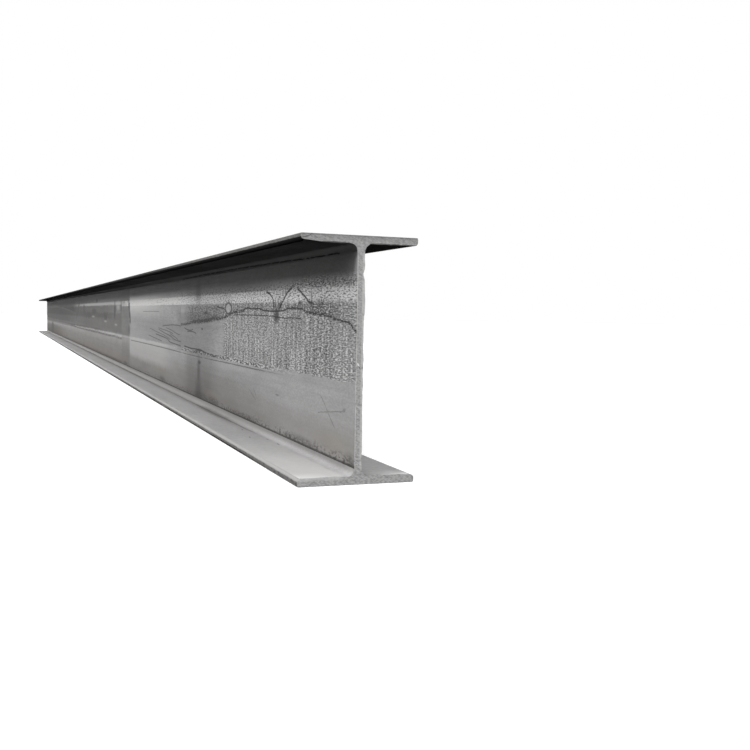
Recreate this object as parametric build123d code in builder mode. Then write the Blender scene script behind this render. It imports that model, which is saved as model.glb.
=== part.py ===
"""Hot-rolled steel I-beam with parallel flanges, a stock length sawn square at both ends.

The length runs along X, the flange width along Y and the depth of the section along Z.
The origin is in the middle of the underside, where the bottom flange rests.
All sizes are millimetres.
"""

import os

from build123d import *

# The section, as rolled
section_depth = 248.0
flange_width = 124.0
web_thickness = 5.0
flange_thickness = 8.0

# Rounds that the rolls leave: at each root, and on the inner and outer corner of each flange tip
root_radius = 8.0
tip_inner_radius = 3.5
tip_outer_radius = 1.5

# The stock length
beam_length = 7000.0

half_depth = section_depth / 2
half_width = flange_width / 2
half_web = web_thickness / 2
flange_inner_face = half_depth - flange_thickness
flange_rounds = (root_radius, tip_inner_radius, tip_outer_radius)

# The section is drawn on the plane of the far sawn end, with its middle in the middle of the web
far_end = Plane(origin=(-beam_length / 2, 0, half_depth), x_dir=(0, 1, 0), z_dir=(1, 0, 0))

with BuildPart() as i_beam:
    with BuildSketch(far_end):
        with BuildLine():
            # Once round the section, from the upper right root back to the lower right one
            FilletPolyline(
                (half_web, flange_inner_face),
                (half_width, flange_inner_face),
                (half_width, half_depth),
                (-half_width, half_depth),
                (-half_width, flange_inner_face),
                (-half_web, flange_inner_face),
                (-half_web, -flange_inner_face),
                (-half_width, -flange_inner_face),
                (-half_width, -half_depth),
                (half_width, -half_depth),
                (half_width, -flange_inner_face),
                (half_web, -flange_inner_face),
                radius=2 * (flange_rounds + flange_rounds[::-1]),
                close=True,
            )
        make_face()
    extrude(amount=beam_length)

i_beam.part.label = "i_beam"

os.makedirs("parts", exist_ok=True)
export_step(i_beam.part, "parts/i_beam.step")
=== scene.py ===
import math

import bmesh
import bpy
from mathutils import Matrix, Vector


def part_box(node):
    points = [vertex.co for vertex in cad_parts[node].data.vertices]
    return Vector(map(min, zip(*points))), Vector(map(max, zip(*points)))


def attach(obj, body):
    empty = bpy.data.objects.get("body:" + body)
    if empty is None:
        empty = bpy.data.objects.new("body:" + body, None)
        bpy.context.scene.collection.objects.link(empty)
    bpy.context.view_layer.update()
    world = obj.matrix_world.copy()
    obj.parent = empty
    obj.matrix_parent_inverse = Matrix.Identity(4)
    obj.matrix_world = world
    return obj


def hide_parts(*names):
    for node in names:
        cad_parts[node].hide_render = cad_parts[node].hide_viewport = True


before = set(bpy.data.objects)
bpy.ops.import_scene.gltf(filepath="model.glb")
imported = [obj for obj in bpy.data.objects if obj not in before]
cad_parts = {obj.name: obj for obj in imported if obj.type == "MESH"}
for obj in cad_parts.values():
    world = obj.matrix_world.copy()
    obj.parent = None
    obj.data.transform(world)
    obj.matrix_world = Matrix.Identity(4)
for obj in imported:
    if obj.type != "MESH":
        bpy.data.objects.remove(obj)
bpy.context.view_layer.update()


# The beam
# One stock length of hot-rolled structural steel, drawn out between profiled rolls, so the web,
# the flanges and the rounds at their roots are one piece. Nothing is fixed to it.
mm = 0.001
low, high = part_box("i_beam")
near_end, far_end = high.x, low.x
half_width = high.y
depth = high.z
half_web = 2.5 * mm
flange_thickness = 8 * mm
root_radius, root_steps = 8 * mm, 8
tip_inner_radius, tip_inner_steps = 3.5 * mm, 5
tip_outer_radius, tip_outer_steps = 1.5 * mm, 3
web_low = flange_thickness + root_radius
web_high = depth - web_low
flat_angle, sharp_angle = math.radians(1), math.radians(30)

# Two places that are less than a hair apart count as one
hair = 0.1 * mm


def pick(obj, kind, wanted):
    """Selects, in edit mode, the vertices, edges or faces of obj whose middle passes the test."""
    bpy.ops.mesh.select_mode(type=kind)
    bpy.ops.mesh.select_all(action="DESELECT")
    shape = bmesh.from_edit_mesh(obj.data)
    parts = {"VERT": shape.verts, "EDGE": shape.edges, "FACE": shape.faces}[kind]
    for part in parts:
        corners = [part] if kind == "VERT" else part.verts
        middle = sum((corner.co for corner in corners), Vector()) / len(corners)
        part.select_set(wanted(middle))
    shape.select_flush_mode()
    bmesh.update_edit_mesh(obj.data)


bpy.ops.object.select_all(action="DESELECT")
bpy.ops.mesh.primitive_plane_add(size=1, location=(far_end, 0, depth / 2), rotation=(0, math.pi / 2, 0))
beam = bpy.context.object
beam.name = "rolled_beam"
beam.scale = (depth, 2 * half_width, 1)
bpy.ops.object.transform_apply(location=True, rotation=True, scale=True)
bpy.ops.object.mode_set(mode="EDIT")

# The section: the plane is scored along the web and the flanges, and both sides are cut away
for cut, across in (
    ((0, -half_web, 0), (0, 1, 0)),
    ((0, half_web, 0), (0, 1, 0)),
    ((0, 0, flange_thickness), (0, 0, 1)),
    ((0, 0, depth - flange_thickness), (0, 0, 1)),
):
    bpy.ops.mesh.select_all(action="SELECT")
    bpy.ops.mesh.bisect(plane_co=cut, plane_no=across)


def beside_web(middle):
    return abs(middle.y) > half_web and flange_thickness < middle.z < depth - flange_thickness


pick(beam, "FACE", beside_web)
bpy.ops.mesh.delete(type="FACE")
bpy.ops.mesh.select_all(action="SELECT")
bpy.ops.mesh.dissolve_limited(angle_limit=flat_angle)


def at_root(corner):
    return abs(corner.y) < 2 * half_web


def at_tip(corner):
    return abs(corner.y) > half_width - hair


def at_inner_tip(corner):
    return at_tip(corner) and hair < corner.z < depth - hair


def at_outer_tip(corner):
    return at_tip(corner) and not hair < corner.z < depth - hair


for corners, radius, steps in (
    (at_root, root_radius, root_steps),
    (at_inner_tip, tip_inner_radius, tip_inner_steps),
    (at_outer_tip, tip_outer_radius, tip_outer_steps),
):
    pick(beam, "VERT", corners)
    bpy.ops.mesh.bevel(offset=radius, segments=steps, affect="VERTICES")
bpy.ops.mesh.select_all(action="SELECT")
bpy.ops.mesh.delete(type="ONLY_FACE")


# Points along the straight runs, close enough together for the rolling lap and the burrs
def on_web(middle):
    return abs(middle.y) < half_web + hair and web_low < middle.z < web_high


def on_inner_flange(middle):
    across = half_web + root_radius < abs(middle.y) < half_width - tip_inner_radius
    return across and hair < middle.z < depth - hair


def on_outer_flange(middle):
    return abs(middle.y) < half_width - tip_outer_radius and not hair < middle.z < depth - hair


for run, length, apart in (
    (on_web, web_high - web_low, 1.5 * mm),
    (on_inner_flange, half_width - tip_inner_radius - half_web - root_radius, 1.5 * mm),
    (on_outer_flange, 2 * (half_width - tip_outer_radius), 2 * mm),
):
    pick(beam, "EDGE", run)
    bpy.ops.mesh.subdivide(number_cuts=round(length / apart) - 1)

# The rolling lap: a low step along the web, where the scale changes from rough above to smooth below
lap_low, lap_high, lap_height = 93 * mm, 101 * mm, 0.25 * mm


def on_lap(corner):
    return on_web(corner) and lap_low < corner.z < lap_high


for side in (-1, 1):
    pick(beam, "VERT", lambda corner: corner.y * side > 0 and on_lap(corner))
    bpy.ops.transform.translate(value=(0, side * lap_height, 0))

# The outline drawn out to the length, with rings across it: close together at both sawn ends
ring_step = 100 * mm
end_rings = (0.5, 1, 2, 3.5, 6, 12, 25, 50)
bpy.ops.mesh.select_all(action="SELECT")
bpy.ops.mesh.extrude_edges_move(TRANSFORM_OT_translate={"value": (near_end - far_end, 0, 0)})
rings = [near_end - step * ring_step for step in range(1, round((near_end - far_end) / ring_step))]
for from_end in end_rings:
    rings += [near_end - from_end * mm, far_end + from_end * mm]
for ring in rings:
    bpy.ops.mesh.select_all(action="SELECT")
    bpy.ops.mesh.bisect(plane_co=(ring, 0, 0), plane_no=(1, 0, 0))
for end in (near_end, far_end):
    pick(beam, "EDGE", lambda middle: abs(middle.x - end) < hair)
    bpy.ops.mesh.edge_face_add()
bpy.ops.mesh.select_all(action="SELECT")
bpy.ops.mesh.normals_make_consistent(inside=False)
bpy.ops.object.mode_set(mode="OBJECT")
bpy.ops.object.shade_smooth_by_angle(angle=sharp_angle)


# The burrs
# The saw leaves a torn lip where its teeth come out of the steel: along one side of the web and
# along the inner faces of both flanges. It fades within 3 mm of the sawn end.
burr_reach, burr_taper = 3 * mm, 0.7


def near_cut(point):
    from_end = min(near_end - point.x, point.x - far_end)
    return max(0, 1 - from_end / burr_reach) ** burr_taper


def lip_height(place, least, swells):
    """How far a lip stands out at a place in millimetres. Each swell of it is (share, middle, reach)."""
    height = least
    for share, middle, reach in swells:
        height += share * math.exp(-((place - middle) / reach) ** 2)
    return height


def web_burr(point):
    beside = half_web - hair < point.y < 3 * half_web
    on_side = beside and flange_thickness < point.z < depth - flange_thickness
    swells = [(0.28, 103, 4), (0.15, 178, 12), (0.12, 60, 16), (-0.45, 210, 4)]
    return lip_height(point.z / mm, 0.72, swells) * near_cut(point) if on_side else 0


def top_burr(point):
    on_side = depth - flange_thickness - hair < point.z < depth - flange_thickness + hair
    swells = [(0.9, 32, 1.6), (0.3, 20, 5), (0.25, -22, 7)]
    return lip_height(point.y / mm, 0.06, swells) * near_cut(point) if on_side else 0


def bottom_burr(point):
    on_side = flange_thickness - hair < point.z < flange_thickness + hair
    swells = [(0.5, -28, 9), (0.35, 24, 14), (0.3, 48, 6)]
    return lip_height(point.y / mm, 0.5, swells) * near_cut(point) if on_side else 0


for name, direction, height, strength, wave, middle_tone in (
    ("web_burr", "Y", web_burr, 2.6 * mm, 24 * mm, -0.98),
    ("top_burr", "Z", top_burr, -2.0 * mm, 13 * mm, 0.0),
    ("bottom_burr", "Z", bottom_burr, 2.2 * mm, 13 * mm, 0.0),
):
    group = beam.vertex_groups.new(name=name)
    for point in beam.data.vertices:
        weight = height(point.co)
        if weight > 0:
            group.add([point.index], min(1, weight), "REPLACE")
    torn = bpy.data.textures.new(name, "CLOUDS")
    torn.noise_scale = wave
    torn.noise_depth = 2
    torn.contrast = 1.2
    lip = beam.modifiers.new(name, "DISPLACE")
    lip.texture = torn
    lip.texture_coords = "LOCAL"
    lip.direction = direction
    lip.vertex_group = name
    lip.strength = strength
    lip.mid_level = middle_tone
    bpy.ops.object.modifier_apply(modifier=name)
    beam.vertex_groups.remove(beam.vertex_groups[name])

# The corner of the top flange that was knocked upwards, a few degrees at the near end
knock_start = Vector((near_end, -37 * mm, depth - flange_thickness))
knock_top = depth - 3 * mm


def in_corner(corner, ring):
    beside = corner.y < knock_start.y and knock_start.z - hair < corner.z < knock_top
    return beside and abs(ring - corner.x) < hair


bpy.ops.object.mode_set(mode="EDIT")
for from_end, degrees in ((0, 5.5), (0.5, 5), (1, 4), (2, 1.5)):
    pick(beam, "VERT", lambda corner: in_corner(corner, near_end - from_end * mm))
    bpy.ops.transform.rotate(
        value=math.radians(degrees),
        orient_axis="X",
        orient_type="GLOBAL",
        center_override=knock_start,
    )
bpy.ops.object.mode_set(mode="OBJECT")

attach(beam, "root")
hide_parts("i_beam")


# Mill scale on the web
# Hot steel left in the air grows a thin blue-grey oxide, and the rolls press it smooth in long
# streaks. Where it is thick it breaks up into fine specks, and water has left stains and runs.
def srgb(text):
    """A hex colour, turned linear."""
    parts = [int(text[i:i + 2], 16) / 255 for i in (1, 3, 5)]
    return (*[c / 12.92 if c <= 0.04045 else ((c + 0.055) / 1.055) ** 2.4 for c in parts], 1)


def add_node(tree, kind, inputs=None, **settings):
    """Adds a node with its settings, and a link or a value for each input. Returns its outputs."""
    new = tree.nodes.new(kind)
    for name, value in settings.items():
        setattr(new, name, value)
    for socket, value in (inputs or {}).items():
        if isinstance(value, bpy.types.NodeSocket):
            tree.links.new(value, new.inputs[socket])
        else:
            new.inputs[socket].default_value = value
    return new.outputs


def places(tree):
    """Millimetres from the near sawn end, across and up, first as they are and then turned.

    Turned, the right side of the beam reads what the left side has at the same distance from
    the other end, as the same beam does when it is seen from behind.
    """
    here = add_node(tree, "ShaderNodeTexCoord")["Object"]
    as_it_is = {"Vector": here, "Location": (near_end / mm, 0, 0), "Scale": (-1 / mm, 1 / mm, 1 / mm)}
    straight = add_node(tree, "ShaderNodeMapping", as_it_is)[0]
    from_behind = as_it_is | {"Scale": (1 / mm, -1 / mm, 1 / mm)}
    back = add_node(tree, "ShaderNodeMapping", from_behind)[0]
    across = add_node(tree, "ShaderNodeSeparateXYZ", {"Vector": straight})["Y"]
    right = add_node(tree, "ShaderNodeMath", {0: across, 1: 0.0}, operation="GREATER_THAN")[0]
    sides = {"Factor": right, 4: straight, 5: back}
    turned = add_node(tree, "ShaderNodeMix", sides, data_type="VECTOR")[1]
    return straight, turned


# Sizes so large that a pattern, or a mark, hardly changes in that direction
even, endless = 1000, 1e6


def patches(tree, place, size, share=0.5, soft=0.1, seed=0.0, detail=2.0):
    """A mask of uneven patches, with their size in millimetres along, across and up."""
    spread = {"Vector": place, "Location": (seed, seed, seed), "Scale": [1 / side for side in size]}
    drawn = add_node(tree, "ShaderNodeMapping", spread)[0]
    noise = add_node(tree, "ShaderNodeTexNoise", {"Vector": drawn, "Scale": 1.0, "Detail": detail})[0]
    edge = {"Value": noise, "From Min": 1 - share - soft, "From Max": 1 - share + soft}
    return add_node(tree, "ShaderNodeMapRange", edge, interpolation_type="SMOOTHSTEP")[0]


def wander(tree, place, reach, size, seed=0.0):
    """The place shifted unevenly by up to reach millimetres, so that what is drawn there is ragged."""
    fine = {"Vector": place, "Scale": 1 / size, "Detail": 2.0, "W": seed}
    noise = add_node(tree, "ShaderNodeTexNoise", fine, noise_dimensions="4D")[1]
    from_middle = {0: noise, 1: (-0.5, -0.5, -0.5)}
    centred = add_node(tree, "ShaderNodeVectorMath", from_middle, operation="ADD")[0]
    moved = {0: centred, 1: (2 * reach, 2 * reach, 2 * reach), 2: place}
    return add_node(tree, "ShaderNodeVectorMath", moved, operation="MULTIPLY_ADD")[0]


def along_and_up(tree, place):
    """How far a place is along the beam, and how far up."""
    axes = add_node(tree, "ShaderNodeSeparateXYZ", {"Vector": place})
    return axes["X"], axes["Z"]


def rise(tree, value, start, end):
    """0 up to start and 1 from end on, in millimetres, or the other way where end is the lower."""
    edge = {"Value": value, "From Min": start, "From Max": end}
    return add_node(tree, "ShaderNodeMapRange", edge, interpolation_type="SMOOTHSTEP")[0]


def times(tree, first, *others):
    """Masks multiplied: what all of them cover."""
    for other in others:
        first = add_node(tree, "ShaderNodeMath", {0: first, 1: other}, operation="MULTIPLY")[0]
    return first


def less(tree, mask):
    """What a mask doesn't cover."""
    return add_node(tree, "ShaderNodeMath", {0: 1.0, 1: mask}, operation="SUBTRACT")[0]


def either(tree, first, second):
    """What one mask or the other covers."""
    return add_node(tree, "ShaderNodeMath", {0: first, 1: second}, operation="MAXIMUM")[0]


def band(tree, value, start, end, soft):
    """1 between start and end, with edges that are soft millimetres wide."""
    up = rise(tree, value, start - soft / 2, start + soft / 2)
    down = rise(tree, value, end + soft / 2, end - soft / 2)
    return times(tree, up, down)


def above(tree, up, level):
    """How far a height lies above a level, in millimetres."""
    return add_node(tree, "ShaderNodeMath", {0: up, 1: level}, operation="SUBTRACT")[0]


def smudges(tree, place, marks, soft=0.8):
    """A mask of oval marks, each (along, up, half length, half height, degrees turned)."""
    union = 0.0
    for along, up, half_length, half_height, degrees in marks:
        oval = {"Vector": place, "Location": (along, 0, up), "Rotation": (0, math.radians(degrees), 0)}
        oval["Scale"] = (half_length, endless, half_height)
        inside = add_node(tree, "ShaderNodeMapping", oval, vector_type="TEXTURE")[0]
        away = add_node(tree, "ShaderNodeVectorMath", {0: inside}, operation="LENGTH")["Value"]
        union = either(tree, rise(tree, away, 1.0, 1 - soft), union)
    return union


def level_of(tree, along, points):
    """How far up a line through points (along, up) runs, at each place along."""
    start, end = points[0][0], points[-1][0]
    heights = [up for distance, up in points]
    bottom, top = min(heights) - 1, max(heights) + 1
    shares = [(distance - start) / (end - start) for distance, up in points]
    levels = [(up - bottom) / (top - bottom) for distance, up in points]
    spots = list(zip(shares, levels))
    share = add_node(tree, "ShaderNodeMapRange", {"Value": along, "From Min": start, "From Max": end})[0]
    curve = add_node(tree, "ShaderNodeFloatCurve", {"Value": share})[0]
    line = curve.node.mapping.curves[0]
    line.points[0].location = spots[0]
    line.points[1].location = spots[-1]
    for spot in spots[1:-1]:
        line.points.new(*spot)
    curve.node.mapping.update()
    return add_node(tree, "ShaderNodeMapRange", {"Value": curve, "To Min": bottom, "To Max": top})[0]


def drawn_line(tree, place, points, width):
    """A mask of a line through points (along, up), width millimetres wide, with a soft edge."""
    along, up = along_and_up(tree, place)
    off = above(tree, up, level_of(tree, along, points))
    away = add_node(tree, "ShaderNodeMath", {0: off}, operation="ABSOLUTE")[0]
    mark = rise(tree, away, width * 0.9, width * 0.1)
    return times(tree, mark, band(tree, along, points[0][0], points[-1][0], 2 * width))


def drawn_lines(tree, place, runs, union=0.0):
    """Several lines in one mask, each (points, width), added to the mask that is given."""
    for points, width in runs:
        union = either(tree, union, drawn_line(tree, place, points, width))
    return union


def layer(tree, below, mask, colour, strength=1.0, blend="MIX"):
    """The colour over what is below, where the mask is."""
    amount = add_node(tree, "ShaderNodeMath", {0: mask, 1: strength}, operation="MULTIPLY")[0]
    over = {"Fac": amount, "Color1": below, "Color2": srgb(colour)}
    return add_node(tree, "ShaderNodeMixRGB", over, blend_type=blend)[0]


def darken(tree, below, mask, colour, strength=1.0):
    """What is below multiplied by the colour where the mask is, so that its pattern stays."""
    return layer(tree, below, mask, colour, strength, "MULTIPLY")


def add_share(tree, base, mask, share):
    """The base with a share of the mask added to it."""
    return add_node(tree, "ShaderNodeMath", {0: mask, 1: share, 2: base}, operation="MULTIPLY_ADD")[0]


def between(tree, tone, dark, light):
    """The tone as a colour, from dark at 0 to light at 1."""
    colours = {"Fac": tone, "Color1": srgb(dark), "Color2": srgb(light)}
    return add_node(tree, "ShaderNodeMixRGB", colours)[0]


def plain_scale(tree, place, dark, light):
    """The scale that covers all rolled faces: streaks along the length, soft clouds and a fine grain."""
    streak = patches(tree, place, (420, 40, 7), soft=0.22, detail=4.0)
    cloud = patches(tree, place, (90, 40, 28), soft=0.25, seed=7.0)
    grain = patches(tree, place, (5, 5, 1.8), soft=0.25, seed=3.0, detail=1.0)
    tone = times(tree, cloud, 0.3)
    for pattern, share in ((streak, 0.3), (grain, 0.4)):
        tone = add_share(tree, tone, pattern, share)
    return between(tree, tone, dark, light), tone


def finish(tree, colour, height, relief, roughness, metallic, gloss):
    """Sets the steel's shader: its colour, its relief in millimetres and how it shines."""
    shader = tree.nodes["Principled BSDF"]
    tree.links.new(colour, shader.inputs["Base Color"])
    raised = {"Height": height, "Strength": 1.0, "Distance": relief * mm}
    bump = add_node(tree, "ShaderNodeBump", raised)[0]
    tree.links.new(bump, shader.inputs["Normal"])
    shader.inputs["Roughness"].default_value = roughness
    shader.inputs["Metallic"].default_value = metallic
    shader.inputs["Specular IOR Level"].default_value = gloss


def new_material(name):
    """One more finish on the beam. Returns its node tree."""
    made = bpy.data.materials.new(name)
    made.use_nodes = True
    beam.data.materials.append(made)
    return made.node_tree


def begin_web(name):
    """A material for one stretch of the web: the plain scale, and the places that marks are drawn at."""
    tree = new_material(name)
    straight, turned = places(tree)
    ragged = wander(tree, turned, 5, 16)
    fine = wander(tree, turned, 1.0, 6, seed=9.0)
    along, up = along_and_up(tree, turned)
    colour, tone = plain_scale(tree, straight, "#7f7f7f", "#9b9b9b")

    # The smooth lower half is darker towards the foot, in low clouds
    colour = layer(tree, colour, rise(tree, up, 80, 24), "#7b7876", 0.7)
    cloud = patches(tree, ragged, (150, even, 24), share=0.45, soft=0.18, seed=11.0)
    colour = layer(tree, colour, times(tree, cloud, rise(tree, up, 70, 30)), "#726f6c", 0.45)
    foot = times(tree, rise(tree, up, 100, 60), rise(tree, along, 150, 620))
    colour = darken(tree, colour, foot, "#d4d3d2", 0.9)
    return tree, turned, ragged, fine, colour, tone


def finish_web(tree, turned, ragged, fine, colour, height):
    """What all stretches of the web have over their marks: the lap, painted shade at the top, and the
    dirty foot with painted shade along its root.
    """
    along, up = along_and_up(tree, turned)
    fine_up = along_and_up(tree, fine)[1]

    # The lap catches the light, and has dark dots on it in the first metre
    lap = times(tree, band(tree, fine_up, 95.5, 101, 1.5), rise(tree, along, 150, 420))
    lit_lap = times(tree, lap, rise(tree, along, 3000, 2300))
    lit_lap = times(tree, lit_lap, either(tree, rise(tree, along, 640, 520), 0.25))
    colour = layer(tree, colour, lit_lap, "#c4c4c3", 0.5)
    lap_dots = patches(tree, turned, (11, even, 2.4), share=0.5, soft=0.06, seed=41.0, detail=1.0)
    colour = layer(tree, colour, times(tree, lap, lap_dots, rise(tree, along, 1200, 900)), "#262525", 0.9)

    # Painted shade at the top, next to the flange: darker from 212 mm up, less so near the end
    top_shade_reach = rise(tree, along, 380, 800)
    top_shade_reach = times(tree, top_shade_reach, either(tree, rise(tree, along, 2500, 1600), 0.5))
    shade = rise(tree, along_and_up(tree, ragged)[1], 212, 242)
    shade = times(tree, shade, either(tree, rise(tree, along, 0, 500), 0.36))
    colour = layer(tree, colour, shade, "#565555", 0.75)
    deep_shade = times(tree, top_shade_reach, rise(tree, up, 214, 226))
    colour = darken(tree, colour, deep_shade, "#b8b8b8")

    # Dirt lies in the root of the bottom flange, and the foot of the web over the root round has painted
    # shade
    dirt_up = along_and_up(tree, wander(tree, turned, 7, 20, seed=4.0))[1]
    dirt = patches(tree, turned, (9, even, 3.2), share=0.46, soft=0.05, seed=43.0, detail=1.0)
    heaped = patches(tree, turned, (70, even, even), share=0.6, soft=0.2, seed=51.0)
    colour = layer(tree, colour, times(tree, rise(tree, dirt_up, 31, 18), dirt, heaped), "#353331", 0.72)
    # Painted shade: a dark band at the foot of the web, just above the root round
    colour = layer(tree, colour, rise(tree, fine_up, 19.8, 17.2), "#2e2c2b", 0.85)
    finish(tree, colour, height, relief=0.06, roughness=0.6, metallic=0.0, gloss=0.06)


# The rough stretch, the first metre from the end that is on the right when a side is faced
# Here the scale breaks up into specks that stand in dotted columns, between the rolling lap and a
# belt of dark stains. Water has dried in lines above it, and a tie wire's shadow is painted down the web.
tree, turned, ragged, fine, colour, tone = begin_web("mill_scale_rough")
along, up = along_and_up(tree, turned)
ragged_along, ragged_up = along_and_up(tree, ragged)
fine_along, fine_up = along_and_up(tree, fine)
jagged = wander(tree, turned, 2.6, 15, seed=6.0)

# The smooth lower half: warm dirt, flecks, scratches, and a darker stretch about the tie wire's shadow,
# partly stain and partly painted shade
warm = [(60, 35, 90, 18, 0), (700, 32, 90, 12, 0)]
colour = layer(tree, colour, smudges(tree, ragged, warm), "#7d7a72", 0.4)
flecks = patches(tree, turned, (9, even, 4), share=0.2, soft=0.05, seed=13.0)
fleck_zone = times(tree, rise(tree, up, 100, 84), rise(tree, along, 1000, 300))
colour = layer(tree, colour, times(tree, flecks, fleck_zone), "#525150", 0.55)
scratches = [(34, 71, 9, 3.4, 20), (44, 69, 5, 2, 0), (290, 66, 14, 2, 0)]
scratches += [(420, 56, 30, 1.6, -18), (405, 60, 16, 1.6, -30)]
scratched = drawn_line(tree, fine, [(63, 50.7), (83, 62.4), (101, 74.7), (112, 80)], 1.7)
scratched = either(tree, scratched, drawn_line(tree, fine, [(30, 71), (78, 65.5), (120, 61)], 1.2))
scratched = either(tree, scratched, smudges(tree, fine, scratches))
colour = layer(tree, colour, scratched, "#4a4948", 0.5)
past_drip_and_shadow = either(tree, rise(tree, ragged_along, 990, 880), rise(tree, ragged_up, 98, 103))
drip_and_shadow = times(tree, rise(tree, ragged_along, 600, 760), rise(tree, ragged_up, 176, 160), past_drip_and_shadow)
colour = darken(tree, colour, drip_and_shadow, "#d4d3d3")

# The specks, with pale dots between their columns and darker clusters. Real ones are about 1 to
# 2 mm across. They are drawn 4 to 13 mm long, and longer still further off, because the photo
# looks along the web and finer ones wouldn't show.
rough_end = rise(tree, ragged_along, 625, 600)
top_at = {"Value": along, "From Min": 170, "From Max": 320, "To Min": 214, "To Max": 201}
rough_top = add_node(tree, "ShaderNodeMapRange", top_at)[0]
over_top = above(tree, ragged_up, rough_top)
paler = times(tree, band(tree, ragged_along, 340, 600, 90), band(tree, ragged_up, 122, 168, 16))
colour = layer(tree, colour, paler, "#bcbcbc", 0.26)
rough_zone = times(tree, rough_end, rise(tree, ragged_up, 98.5, 102), rise(tree, over_top, 4, -9))
columns = patches(tree, turned, (6.5, even, 70), share=0.5, soft=0.12, seed=21.0, detail=1.0)
in_columns = either(tree, columns, either(tree, times(tree, rise(tree, along, 240, 100), 0.8), 0.3))
dots = patches(tree, turned, (7, even, 1.5), share=0.5, soft=0.06, seed=23.0, detail=0.0)
grit = patches(tree, turned, (4.5, even, 1.2), share=0.42, soft=0.06, seed=25.0, detail=0.0)
pale_dots = patches(tree, turned, (8, even, 1.5), share=0.45, soft=0.06, seed=27.0, detail=0.0)
dark_specks = times(tree, dots, in_columns, rough_zone)
past_end = either(tree, rise(tree, along, 10, 90), 0.6)
colour = layer(tree, colour, times(tree, dark_specks, past_end), "#282828", 0.8)
colour = layer(tree, colour, times(tree, grit, rough_zone), "#2c2c2c", 0.62)
coarse = patches(tree, turned, (13, even, 2.6), share=0.42, soft=0.06, seed=57.0, detail=0.0)
colour = layer(tree, colour, times(tree, coarse, rough_zone, rise(tree, along, 300, 420)), "#343434", 0.5)
between_columns = either(tree, less(tree, columns), 0.35)
colour = layer(tree, colour, times(tree, pale_dots, between_columns, rough_zone), "#dcdcdc", 0.5)
clusters = patches(tree, turned, (24, even, 46), share=0.34, soft=0.1, seed=45.0)
colour = layer(tree, colour, times(tree, clusters, rough_zone, rise(tree, up, 172, 160)), "#585858", 0.4)
sparse = patches(tree, turned, (26, even, 3.0), share=0.45, soft=0.1, seed=29.0)
sparse_zone = times(tree, rise(tree, along, 560, 640), rise(tree, along, 1000, 900))
sparse_zone = times(tree, sparse_zone, rise(tree, up, 99, 103))
colour = layer(tree, colour, times(tree, sparse, sparse_zone), "#666666", 0.4)

# The belt of darker, speckled scale over the long stain line
stain = [(-10, 150), (10, 156), (22, 161), (45, 164), (75, 166), (100, 169), (130, 170.5)]
stain += [(165, 171.5), (182, 175), (230, 176.5), (246, 176), (262, 174), (290, 173), (330, 173)]
stain += [(360, 173.5), (392, 176), (430, 176), (450, 177), (464, 176), (475, 174), (500, 172)]
stain += [(528, 170.7), (552, 169.3), (581, 164.7), (605, 162), (646, 160), (700, 158)]
stain += [(736, 154.7), (802, 153), (850, 152), (931, 148), (1000, 146)]
stain_level = level_of(tree, fine_along, stain)
over_stain = above(tree, fine_up, stain_level)
belt = times(tree, rise(tree, over_stain, -2, 2), rise(tree, ragged_up, 188, 178))
belt = times(tree, belt, rise(tree, ragged_along, 990, 860))
belt = times(tree, belt, either(tree, rise(tree, ragged_along, 20, 90), 0.4))
belt_dots = patches(tree, turned, (7, even, 1.7), share=0.55, soft=0.06, seed=37.0, detail=0.0)
belt_far = patches(tree, turned, (15, even, 2.4), share=0.5, soft=0.08, seed=39.0, detail=1.0)
belt_near = times(tree, belt_dots, rise(tree, along, 480, 380))
belt_specks = either(tree, belt_near, times(tree, belt_far, rise(tree, along, 380, 480)))
thinner = either(tree, either(tree, rise(tree, along, 260, 160), rise(tree, along, 480, 600)), 0.56)
colour = layer(tree, colour, times(tree, belt, belt_specks, thinner), "#282828", 0.62)
colour = darken(tree, colour, times(tree, belt, rise(tree, along, 560, 680)), "#dedede")

# The bright band over the belt, mottled, which is painted sheen; painted shade over its top; and the
# dotted scale over its edge
band_low, band_high = 184.5, 199.5
mottle = patches(tree, turned, (9, even, 2.0), share=0.6, soft=0.1, seed=31.0)
by_end = rise(tree, along, 340, 220)
straight_band = times(tree, band(tree, fine_up, band_low, band_high, 2), less(tree, by_end))
frayed_band = times(tree, band(tree, ragged_up, band_low, band_high + 0.5, 6), by_end)
frayed_band = times(tree, frayed_band, either(tree, rise(tree, along, 60, 200), 0.75))
sheen_band = times(tree, either(tree, straight_band, frayed_band), mottle)
band_level = either(tree, times(tree, rise(tree, along, 640, 520), 0.95), 0.6)
band_level = either(tree, rise(tree, along, 640, 1000), band_level)
colour = layer(tree, colour, times(tree, sheen_band, band_level), "#d8d8d8", 0.7)
# Painted shade over the band, from a quarter metre on, so that the shadow's edge sits lower
shade_over_band = times(tree, rise(tree, along, 250, 450), rise(tree, along, 1000, 850))
shade_over_band = times(tree, band(tree, ragged_up, 200, 214, 6), shade_over_band)
colour = darken(tree, colour, shade_over_band, "#d4d4d4")
spots = patches(tree, turned, (7, even, 1.5), share=0.42, soft=0.06, seed=33.0, detail=0.0)
spot_zone = times(tree, rise(tree, up, 183, 186), rise(tree, ragged_up, 211, 203))
over_edge = times(tree, band(tree, fine_up, 199.6, 201.8, 1.2), rise(tree, along, 380, 440))
spot_zone = either(tree, spot_zone, over_edge)
colour = layer(tree, colour, times(tree, spots, spot_zone), "#262626", 0.72)

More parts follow.
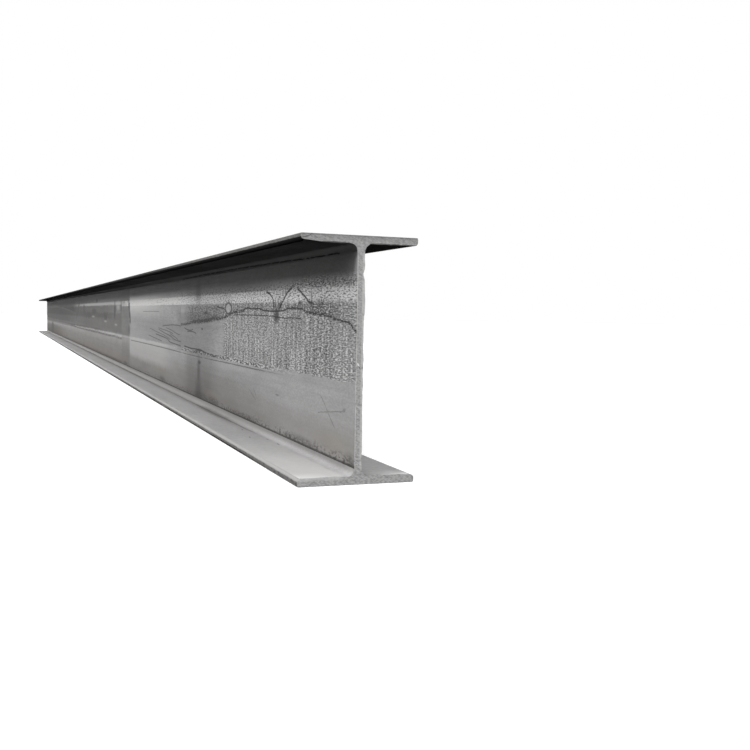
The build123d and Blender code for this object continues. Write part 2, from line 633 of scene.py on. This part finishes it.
# Stain lines: the long one, a finer one under it, and the edges of dried runs
end_stain = [spot for spot in stain if spot[0] < 185]
near_stain = [spot for spot in stain if 180 < spot[0] < 480]
far_stain = [spot for spot in stain if spot[0] > 460]
crumbs = patches(tree, turned, (8, even, 1.7), share=0.56, soft=0.06, seed=55.0, detail=1.0)
crumbled = either(tree, crumbs, 0.15)
lines = times(tree, drawn_line(tree, jagged, end_stain, 3.4), crumbled)
lines = either(tree, lines, drawn_line(tree, fine, near_stain, 2.0))
broad_stain = [(640, 161), (700, 159), (760, 156), (880, 152)]
far_lines = drawn_line(tree, jagged, far_stain, 4.4)
far_lines = either(tree, far_lines, drawn_line(tree, jagged, broad_stain, 7))
lines = either(tree, lines, times(tree, far_lines, crumbled))
dried_edges = [
    ([(190, 163), (220, 165), (250, 164.5), (330, 166.5), (420, 167), (540, 167)], 1.3),
    ([(310, 181), (314, 187), (324, 192.5), (335, 196), (350, 198)], 3.0),
    ([(228, 201), (238, 199), (249, 195.5), (258, 191), (266, 187), (276, 181), (288, 175)], 3.4),
    ([(145, 183), (156, 183), (165, 186), (175, 190), (190, 195), (206, 200)], 3.0),
    ([(598, 173.5), (612, 177), (640, 178), (664, 180)], 1.7),
    ([(870, 139), (900, 136.5), (960, 140)], 1.5),
    ([(840, 131), (870, 134), (930, 134)], 1.5),
    ([(660, 98), (728, 99.5), (802, 103), (840, 103.5), (880, 103), (960, 105)], 2.2),
]
lines = drawn_lines(tree, fine, dried_edges, lines)
colour = layer(tree, colour, lines, "#1b1a1a", 0.95)

# The dark foot of the lap, and a small ring on the stain line
lap_foot = drawn_line(tree, fine, [(235, 93.5), (400, 92.4), (560, 91.8), (900, 90.5), (1010, 91)], 1.6)
worn_away = patches(tree, turned, (40, even, 40), share=0.62, soft=0.15, seed=47.0)
lap_foot = times(tree, lap_foot, worn_away, rise(tree, along, 230, 420))
colour = layer(tree, colour, lap_foot, "#3a3838", 0.8)
loop = smudges(tree, fine, [(576, 176.7, 27, 11.5, 0)], soft=0.22)
loop_inside = smudges(tree, fine, [(577, 176.7, 20, 7.5, 0)], soft=0.25)
colour = layer(tree, colour, times(tree, loop, less(tree, loop_inside)), "#383636", 0.8)
colour = layer(tree, colour, loop_inside, "#a4a4a4", 0.6)

# Short dark drips under the lines, the painted shadow of a tie wire, and heaps of dirt at the foot
drips = [(149, 190, 3.5, 11, 0), (290, 181, 4, 13, 0), (313, 181, 5, 11, 0), (302, 180, 4, 9, 0)]
drips += [(297, 167, 20, 14, 0), (279, 180, 11, 7, 30), (785, 141, 12, 3, 0), (814, 102.7, 40, 3.6, 2)]
drips += [(834, 99.5, 28, 4.2, 0), (196, 183, 10, 4, 0), (808, 81, 20, 5, 0), (755, 169, 24, 4, 0)]
streaks = [(118, 182, 58, 10, 8), (208, 142, 7, 22, 0), (135, 120, 7, 24, 0)]
streaks += [(96, 127, 12, 8, 0), (152, 158, 5, 12, 0), (124, 158, 5, 12, 0)]
streaked = times(tree, smudges(tree, fine, streaks, soft=1.0), either(tree, dots, 0.3))
colour = layer(tree, colour, streaked, "#303030", 0.7)
colour = layer(tree, colour, smudges(tree, fine, drips), "#222222", 0.85)
colour = layer(tree, colour, smudges(tree, fine, [(296, 184, 3, 9, 0)]), "#c2c1c0", 0.55)
# Painted shadow of a tie wire, which is not built: a dark run down the web at 820 mm
wire_shadow = [(816, 26, 46, 50, 0), (814, 62, 24, 50, 0), (820, 214, 50, 40, 0)]
colour = layer(tree, colour, smudges(tree, ragged, wire_shadow, soft=0.9), "#3c3a3a", 0.75)
heaps = [(14, 20, 26, 14, 0), (180, 20, 90, 9, 0), (232, 20, 40, 6, 0), (470, 20, 130, 7, 0)]
heaps += [(690, 22, 70, 13, 0), (800, 22, 90, 12, 0)]
heap_dots = patches(tree, turned, (8, even, 2.6), share=0.6, soft=0.1, seed=53.0, detail=1.0)
heaped = times(tree, smudges(tree, fine, heaps), either(tree, heap_dots, 0.3))
colour = layer(tree, colour, heaped, "#353331", 0.5)
height = add_share(tree, tone, dark_specks, -0.8)
finish_web(tree, turned, ragged, fine, colour, height)


# The thin stretch, the second metre
# The scale is thin and pale, with the last of the stains at its start. It ends in a ragged edge
# across the web, 1.8 m from the end, where thicker scale begins and water has run down.
tree, turned, ragged, fine, colour, tone = begin_web("mill_scale_thin")
along, up = along_and_up(tree, turned)
ragged_along, ragged_up = along_and_up(tree, ragged)
fine_up = along_and_up(tree, fine)[1]

# The tones: pale where the scale is thin, darker over the stains, where the first metre's stretch of
# stain and painted shade ends, and past the ragged edge
colour = layer(tree, colour, smudges(tree, ragged, [(1250, 42, 180, 12, 0)]), "#736f66", 0.4)
thin = times(tree, rise(tree, ragged_along, 1000, 1300), rise(tree, ragged_along, 1815, 1795))
thin_foot = times(tree, thin, rise(tree, ragged_up, 40, 62), rise(tree, ragged_up, 105, 97))
colour = layer(tree, colour, thin_foot, "#a6a5a4", 0.5)
past_edge = rise(tree, ragged_along, 1780, 1835)
upper = rise(tree, ragged_up, 97, 103)
drip_and_shadow = times(tree, rise(tree, ragged_along, 1090, 1000), rise(tree, ragged_up, 182, 166))
by_stains = times(tree, rise(tree, ragged_along, 2200, 900), rise(tree, ragged_up, 168, 140), 0.83)
by_stains = times(tree, either(tree, drip_and_shadow, by_stains), rise(tree, ragged_up, 98, 103))
colour = darken(tree, colour, by_stains, "#d4d3d3")
colour = darken(tree, colour, times(tree, past_edge, upper), "#b8b7b6")
colour = darken(tree, colour, times(tree, past_edge, less(tree, upper)), "#e6e4e2")

# The last specks, and the bright band of painted sheen in the wide pale belt under the flange
sparse = patches(tree, turned, (26, even, 3.0), share=0.45, soft=0.1, seed=29.0)
sparse_zone = times(tree, rise(tree, along, 1500, 1000), rise(tree, up, 99, 103))
colour = layer(tree, colour, times(tree, sparse, sparse_zone), "#666666", 0.4)
mottle = patches(tree, turned, (30, even, 3), share=0.6, soft=0.12, seed=31.0)
sheen_band = times(tree, band(tree, fine_up, band_low, band_high, 2), mottle)
sheen_band = times(tree, sheen_band, either(tree, rise(tree, along, 2050, 1850), 0.6))
colour = layer(tree, colour, sheen_band, "#d0cfce", 0.7)
wide = times(tree, rise(tree, ragged_up, 150, 192), rise(tree, up, 214, 203))
wide = times(tree, wide, rise(tree, ragged_along, 1000, 1700), rise(tree, ragged_along, 1815, 1795))
colour = layer(tree, colour, wide, "#c2c1c0", 0.7)

# The stain lines run out here, and water has run down from the ragged edge
dried_lines = [
    ([(980, 142), (1080, 143.5), (1150, 142), (1230, 139)], 1.8),
    ([(980, 112), (1068, 113.7), (1122, 119.7), (1202, 124.7), (1285, 131)], 1.8),
    ([(980, 103), (1068, 105.3), (1122, 107), (1175, 113.7), (1255, 117), (1330, 119.7)], 2.2),
    ([(1090, 125), (1150, 129), (1290, 134)], 1.5),
    ([(1012, 125), (1050, 127), (1120, 133), (1180, 136)], 1.4),
    ([(1030, 115), (1060, 118), (1090, 121), (1130, 125)], 1.4),
    ([(1130, 113), (1200, 119), (1300, 124), (1420, 131)], 1.3),
    ([(1240, 106), (1340, 110), (1440, 114)], 1.5),
    ([(1280, 170), (1400, 170.5), (1540, 170)], 1.0),
    ([(990, 91), (1400, 92), (1780, 91.5)], 1.8),
]
colour = layer(tree, colour, drawn_lines(tree, fine, dried_lines), "#2e2c2c", 0.8)
runs = [(1829, 188, 20, 20, 0), (1812, 166, 22, 22, 0), (1796, 148, 20, 16, 0), (1820, 119, 30, 20, 0)]
runs += [(1900, 22, 70, 8, 0), (1230, 22, 60, 10, 0)]
colour = layer(tree, colour, smudges(tree, ragged, runs), "#3f3e3e", 0.6)
edge = [(1818, 184, 22, 18, 0), (1806, 160, 22, 16, 0), (1798, 142, 20, 10, 0)]
colour = layer(tree, colour, smudges(tree, ragged, edge, soft=0.6), "#2e2d2d", 0.7)
finish_web(tree, turned, ragged, fine, colour, tone)


# The thick stretch, from two metres on
# Thick dark scale, most of all in the upper half, with broad runs of water, painted shade under
# the top flange further off, and one bright line of painted sheen where the shadow of the top flange
# ends.
tree, turned, ragged, fine, colour, tone = begin_web("mill_scale_thick")
along, up = along_and_up(tree, turned)
loose_along, loose_up = along_and_up(tree, wander(tree, turned, 9, 60, seed=2.0))
ragged_along, ragged_up = along_and_up(tree, ragged)

# The tones of the web at each height, and how they change further off
colour = layer(tree, colour, smudges(tree, ragged, [(5200, 46, 700, 30, 0)]), "#736f66", 0.4)
upper = rise(tree, ragged_up, 97, 103)
colour = darken(tree, colour, upper, "#c2c1c0")
colour = darken(tree, colour, less(tree, upper), "#f2f0ee")
middle = times(tree, band(tree, loose_up, 104, 164, 8), rise(tree, along, 3900, 3200))
colour = darken(tree, colour, middle, "#d8d7d6")
by_lap = times(tree, rise(tree, along, 2300, 2900), band(tree, ragged_up, 90, 105, 6))
colour = darken(tree, colour, by_lap, "#c2c1c0")
# Painted shade under the top flange, further off
under_flange = times(tree, rise(tree, along, 2300, 3600), rise(tree, loose_up, 196, 206))
colour = darken(tree, colour, under_flange, "#bbbaba")
darker = times(tree, rise(tree, loose_along, 2050, 2500), rise(tree, loose_up, 138, 152))
darker = times(tree, darker, rise(tree, loose_up, 190, 184))
colour = darken(tree, colour, darker, "#cccbca")
far_top = times(tree, rise(tree, along, 2300, 5000), rise(tree, loose_up, 92, 120))
colour = darken(tree, colour, far_top, "#9a9999")
far_foot = times(tree, rise(tree, along, 4200, 5800), rise(tree, loose_up, 92, 64))
colour = darken(tree, colour, far_foot, "#c4c2c0")
# A bright line of painted sheen where the shadow of the top flange ends
sheen_band = times(tree, band(tree, along_and_up(tree, fine)[1], 190, 199, 5), rise(tree, along, 4300, 3000))
colour = layer(tree, colour, sheen_band, "#b8b7b7", 0.6)

# Runs of water, and paler places between them
runs = [(2016, 184, 18, 28, 0), (2190, 172, 28, 40, 0), (2490, 152, 50, 18, 0)]
runs += [(2785, 206, 36, 10, 0), (3385, 178, 60, 26, 0), (3130, 152, 110, 18, 0)]
runs += [(3720, 176, 190, 16, 20), (2900, 168, 130, 14, 0), (2176, 177, 34, 32, 0)]
runs += [(1996, 184, 26, 24, 0), (2462, 149, 60, 15, 0), (3351, 164, 70, 18, 0), (6100, 50, 260, 60, 0)]
colour = layer(tree, colour, smudges(tree, ragged, runs, soft=0.6), "#3a3939", 0.78)
pale = [(2090, 186, 60, 20, 0), (2110, 192, 240, 7, 0), (2150, 128, 60, 5, 0)]
pale += [(2470, 135, 70, 5, 0), (2940, 148, 90, 6, 0)]
colour = layer(tree, colour, smudges(tree, fine, pale), "#b4b3b2", 0.32)
root_foot = times(tree, rise(tree, up, 27, 20), rise(tree, along, 5600, 4400))
colour = darken(tree, colour, root_foot, "#cfcdcb")

# The edge of the darkest scale climbs from the middle of the web to its top. This line and those
# of the lap are drawn 4 to 8 mm wide, wider than they are, so that they show this far off.
wedge = [(3900, 152), (4300, 163), (4700, 175), (5200, 190), (5700, 206)]
wedge_level = level_of(tree, ragged_along, wedge)
over_wedge = above(tree, ragged_up, wedge_level)
in_wedge = times(tree, rise(tree, over_wedge, -4, 5), rise(tree, along, 3750, 4100))
colour = darken(tree, colour, in_wedge, "#c8c7c7")
edge = [(3880, 155), (4349, 170), (4848, 182), (5060, 186)]
colour = layer(tree, colour, drawn_line(tree, ragged, edge, 8), "#4c4b4b", 0.55)
chipped = patches(tree, turned, (70, even, even), share=0.55, soft=0.15, seed=61.0)
lap_place = wander(tree, turned, 4, 70, seed=8.0)
step_top = [(1980, 98), (2323, 96.5), (2719, 97), (2955, 98.5), (3448, 96), (3900, 98)]
lit_step = times(tree, drawn_line(tree, lap_place, step_top, 6), chipped)
colour = layer(tree, colour, lit_step, "#b9b8b8", 0.4)
step_foot = [(1980, 91.2), (2323, 90.4), (2719, 91), (2955, 91.4), (3448, 91), (3900, 94), (4240, 97)]
under_step = times(tree, drawn_line(tree, lap_place, step_foot, 6), either(tree, chipped, 0.5))
colour = layer(tree, colour, under_step, "#3e3c3c", 0.8)
lap_line = [(2650, 106), (3200, 108), (3700, 107), (4200, 102), (5000, 107), (5600, 111), (6400, 112)]
colour = layer(tree, colour, drawn_line(tree, ragged, lap_line, 4), "#4c4a49", 0.5)
finish_web(tree, turned, ragged, fine, colour, tone)


# Worn scale on the flanges
# The faces that carry and rub are brighter: the scale there is thin and burnished along the
# length. Close to the ends they are brighter still, which is painted light.
tree = new_material("worn_scale_flange")
straight, turned = places(tree)
colour, tone = plain_scale(tree, straight, "#8d8c8c", "#a2a1a1")
axes = add_node(tree, "ShaderNodeSeparateXYZ", {"Vector": turned})
laid = add_node(tree, "ShaderNodeCombineXYZ", {"X": axes["X"], "Z": axes["Y"]})[0]
foot = wander(tree, laid, 2.5, 40)
foot_along, foot_across = along_and_up(tree, foot)

# Painted light near the ends, painted shade and dark streaks along the root of the bottom flange, and a
# painted highlight at the cut
lit_near_end = rise(tree, along_and_up(tree, wander(tree, laid, 30, 90))[0], 380, -120)
colour = layer(tree, colour, times(tree, lit_near_end, rise(tree, foot_across, -7, -15)), "#bdbcbb", 0.76)
# Painted shade over the root round, darker from 9 mm up, which dims the top of the top flange too
colour = darken(tree, colour, rise(tree, along_and_up(tree, turned)[1], 9, 14), "#cccbca")
# Painted shade beside the web, from a quarter metre on, and long dark streaks along the root
root_shade = times(tree, rise(tree, foot_across, -27, -12), rise(tree, foot_along, 250, 560))
colour = layer(tree, colour, root_shade, "#706e6c", 0.6)
root_streaks = [(640, -12, 170, 9, 0), (1700, -12, 700, 4, 0), (3200, -12, 900, 4, 0)]
colour = layer(tree, colour, smudges(tree, foot, root_streaks, soft=0.6), "#55534f", 0.5)
# Painted shade: a dark line under the root round
under_root = times(tree, band(tree, foot_across, -13.2, -11.2, 1), rise(tree, foot_along, 330, 420))
colour = layer(tree, colour, under_root, "#454342", 0.6)
# A painted highlight within 40 mm of the cut, weaker near the web
lip = rise(tree, along_and_up(tree, straight)[0], 40, 2)
cut_highlight = times(tree, lip, either(tree, rise(tree, foot_across, -14, -50), 0.2))
colour = layer(tree, colour, cut_highlight, "#d6d6d5", 0.62)
specks = [(252, -11, 14, 1.6, -6), (325, -29, 12, 1.6, -10)]
specks += [(408, -19, 10, 1.6, -8), (300, -12, 9, 1.3, 0)]
colour = layer(tree, colour, smudges(tree, laid, specks), "#5c5a59", 0.7)
finish(tree, colour, tone, relief=0.05, roughness=0.6, metallic=0.0, gloss=0.08)


# Painted shade under the flanges
# These faces are matt and painted nearly black for the shade under the flanges, but paler at the
# root of the top flange, where a broken streak of black, painted shade at the edge of the round, runs
# along the web.
tree = new_material("shaded_underside")
straight, turned = places(tree)
colour, tone = plain_scale(tree, straight, "#434343", "#5c5c5c")
across = add_node(tree, "ShaderNodeSeparateXYZ", {"Vector": turned})["Y"]
colour = layer(tree, colour, rise(tree, across, -30, -12), "#606060", 0.3)
colour = layer(tree, colour, rise(tree, across, -11, -3.5), "#a8a8a8", 1.0)
ragged = wander(tree, turned, 0.9, 9)
broken = patches(tree, turned, (18, even, 2.4), share=0.6, soft=0.1, seed=49.0)
# Painted shade: a broken black streak along the edge of the root round
streak = [(55, 233.4), (143, 233.4), (205, 233.8), (240, 234.2)]
streak += [(400, 235), (520, 235.4), (760, 234.8), (980, 232.8)]
colour = layer(tree, colour, times(tree, drawn_line(tree, ragged, streak, 1.6), broken), "#101010", 0.75)
finish(tree, colour, tone, relief=0.06, roughness=0.9, metallic=0.0, gloss=0.0)


# The rolled tips
# The edges of the flanges, squared by the rolls. The scale on them is nearly black at the top of
# the beam, painted shade with some dirt, and paler at the bottom, with a little dirt and a painted
# contact shadow.
tree = new_material("rolled_tip")
straight, turned = places(tree)
colour, tone = plain_scale(tree, straight, "#5c5b5a", "#7c7b7a")
along, up = along_and_up(tree, wander(tree, turned, 0.6, 12))
# Painted shade with some dirt under the top flange's round, darker further along
colour = layer(tree, colour, band(tree, up, 20, 244.2, 0.8), "#131313", 0.95)
far_top = times(tree, rise(tree, up, 240, 242), rise(tree, along, 200, 1300))
colour = layer(tree, colour, far_top, "#222222", 0.7)
colour = layer(tree, colour, band(tree, up, 5.4, 20, 1.4), "#9e9d9c", 0.9)
tip_dirt = patches(tree, turned, (12, even, 4), share=0.4, soft=0.1, seed=5.0)
colour = layer(tree, colour, times(tree, tip_dirt, band(tree, up, 1, 5.5, 1)), "#3f3d3c", 0.6)
# A painted contact shadow along the foot, from 60 mm past the end on
far_foot = times(tree, rise(tree, up, 3.2, 2.0), rise(tree, along, 60, 260))
colour = layer(tree, colour, far_foot, "#232221", 0.9)
finish(tree, colour, tone, relief=0.06, roughness=0.8, metallic=0.0, gloss=0.0)


# The sawn ends
# Bare steel, cut by a saw on a slant and dulled since: pale, with fine marks across it. Torn
# edges are dark under the top flange, which is painted shade, and bright along the web. The top
# edge of the bottom flange has a painted highlight, and a chip a painted glint and shadow.
tree = new_material("sawn_steel")
straight = places(tree)[0]
saw_slant = math.radians(32)
slant = {"Vector": straight, "Rotation": (saw_slant, 0, 0)}
marks = add_node(tree, "ShaderNodeMapping", slant)[0]
lines = patches(tree, marks, (40, 9, 1.1), share=0.5, soft=0.25, seed=3.0)
dull = patches(tree, straight, (3, 3, 1.8), share=0.5, soft=0.15, seed=5.0)
mixed = add_share(tree, times(tree, dull, 0.5), lines, 0.5)
colour = between(tree, mixed, "#7c7c7c", "#acacab")

# A painted glint on a chip in the web, and a painted shadow beside it, at the near end alone
axes = add_node(tree, "ShaderNodeSeparateXYZ", {"Vector": straight})
flat = add_node(tree, "ShaderNodeCombineXYZ", {"X": axes["Y"], "Z": axes["Z"]})[0]
near_face = rise(tree, axes["X"], 9, 1)
chip_glint = smudges(tree, flat, [(-0.2, 120, 0.8, 2.6, -25)], soft=0.4)
colour = layer(tree, colour, times(tree, chip_glint, near_face), "#e4e3e2", 1.0)
chip_shadow = smudges(tree, flat, [(0.9, 117.6, 0.6, 2.6, -32)], soft=0.5)
colour = layer(tree, colour, times(tree, chip_shadow, near_face), "#2e2d2d", 0.8)

# The torn edges of the flanges, with painted shade under the top flange and a painted highlight on the
# bottom one, the rim of the web, and a crack in the knocked corner
torn = add_node(tree, "ShaderNodeSeparateXYZ", {"Vector": wander(tree, flat, 0.9, 6, seed=3.0)})
from_web = add_node(tree, "ShaderNodeMath", {0: axes["Y"]}, operation="ABSOLUTE")[0]
edge_shade = times(tree, band(tree, torn["Z"], 239, 240.9, 0.8), rise(tree, from_web, 10, 12))
colour = layer(tree, colour, edge_shade, "#2e2d2d", 0.8)
colour = layer(tree, colour, rise(tree, torn["Z"], 245.8, 247.6), "#666665", 0.5)
colour = darken(tree, colour, rise(tree, torn["Z"], 241.5, 244), "#eaeaea")
edge_highlight = times(tree, rise(tree, torn["Z"], 4, 7.4), rise(tree, torn["Z"], 12, 9.5))
edge_highlight = times(tree, edge_highlight, rise(tree, axes["Y"], -6, -22))
colour = layer(tree, colour, edge_highlight, "#c8c8c7", 0.4)
rim_marks = patches(tree, flat, (even, even, 7), share=0.6, soft=0.1, seed=59.0)
rim_side = times(tree, rise(tree, axes["Y"], 2.2, 3.4), 0.7)
rim_side = either(tree, rise(tree, axes["Y"], -1.7, -2.2), rim_side)
rim = times(tree, rim_marks, rim_side, band(tree, axes["Z"], 18, 230, 8), rise(tree, from_web, 9, 7))
colour = layer(tree, colour, rim, "#d2d2d1", 0.55)
crack = drawn_line(tree, wander(tree, flat, 0.5, 3), [(-59.5, 243.8), (-54, 245), (-49.5, 248)], 0.9)
colour = layer(tree, colour, times(tree, crack, near_face), "#353434", 0.75)
finish(tree, colour, mixed, relief=0.08, roughness=0.5, metallic=0.15, gloss=0.2)

# Each face takes its finish by its place, and the web by how far it is from its own end. What
# faces along the beam is sawn.
rough_face, thin_face, thick_face, worn_face, shaded_face, tip_face, sawn_face = range(7)
rough_reach, thin_reach = 1000 * mm, 2000 * mm
endwise = 0.7
for face in beam.data.polygons:
    middle, normal = face.center, face.normal
    from_end = near_end - middle.x if middle.y < 0 else middle.x - far_end
    if abs(normal.x) > endwise:
        face.material_index = sawn_face
    elif abs(middle.y) < half_web + root_radius and web_low - hair < middle.z < web_high + hair:
        past_rough = thin_face if from_end < thin_reach else thick_face
        face.material_index = rough_face if from_end < rough_reach else past_rough
    elif abs(middle.y) > half_width - tip_inner_radius:
        face.material_index = tip_face
    elif web_high < middle.z < depth - hair or middle.z < hair:
        face.material_index = shaded_face
    else:
        face.material_index = worn_face


# The stage
# A pale floor under a white dome. The camera and reflections see them bright, but they throw
# little light on the beam, so that the three suns set its level. The floor keeps the shadow.
floor_side, floor_gap = 60, 0.2 * mm
bpy.ops.mesh.primitive_plane_add(size=floor_side, location=(0, 0, -floor_gap))
floor = bpy.context.object
floor.name = "floor"


def seen_directly(tree):
    """1 for a ray from the camera, a mirror or glass, and 0 for light on its way to the beam."""
    ray = add_node(tree, "ShaderNodeLightPath")
    direct = either(tree, ray["Is Camera Ray"], ray["Is Glossy Ray"])
    return either(tree, direct, ray["Is Transmission Ray"])


paper = bpy.data.materials.new("pale_floor")
paper.use_nodes = True
tree = paper.node_tree
matt = tree.nodes["Principled BSDF"]
matt.inputs["Roughness"].default_value = 1
matt.inputs["Specular IOR Level"].default_value = 0
matt.inputs["Emission Strength"].default_value = 1
direct = seen_directly(tree)
tree.links.new(between(tree, direct, "#303030", "#d8d8d8"), matt.inputs["Base Color"])
tree.links.new(between(tree, direct, "#000000", "#bcbcbc"), matt.inputs["Emission Color"])
floor.data.materials.append(paper)

world = bpy.data.worlds.new("studio")
bpy.context.scene.world = world
world.use_nodes = True
tree = world.node_tree
dome = tree.nodes["Background"]
dome.inputs["Color"].default_value = (1, 1, 1, 1)
glow = {"Value": seen_directly(tree), "To Min": 0.1, "To Max": 1.0}
tree.links.new(add_node(tree, "ShaderNodeMapRange", glow)[0], dome.inputs["Strength"])

for name, toward, strength, spread in (
    ("key_light", (0.12, -0.80, 0.53), 3.45, 20),
    ("front_light", (0.78, -0.08, 0.62), 2.8, 40),
    ("fill_light", (-0.35, 0.8, 0.5), 1.4, 20),
):
    lamp = bpy.data.lights.new(name, "SUN")
    lamp.energy = strength
    lamp.angle = math.radians(spread)
    light = bpy.data.objects.new(name, lamp)
    bpy.context.scene.collection.objects.link(light)
    light.rotation_euler = Vector(toward).to_track_quat("Z", "Y").to_euler()

# The camera, as it was fitted to the beam's edges in the photo. Its focal length is in pixels, its
# place in metres, and heading, dip and lean in degrees.
image_side, focal_length = 750, 953.59
camera_place = (4.3871, -0.3294, 0.1686)
heading, dip, lean = 68.622, 3.520, 1.058
lens = bpy.data.cameras.new("camera")
lens.sensor_width = 36
lens.lens = focal_length * lens.sensor_width / image_side
lens.clip_end = 100
camera = bpy.data.objects.new("camera", lens)
bpy.context.scene.collection.objects.link(camera)
turn = Matrix.Rotation(math.radians(heading), 4, "Z")
tilt = Matrix.Rotation(math.radians(90 - dip), 4, "X")
roll = Matrix.Rotation(math.radians(lean), 4, "Z")
camera.matrix_world = Matrix.Translation(camera_place) @ turn @ tilt @ roll
bpy.context.scene.camera = camera
bpy.context.scene.view_settings.view_transform = "Standard"
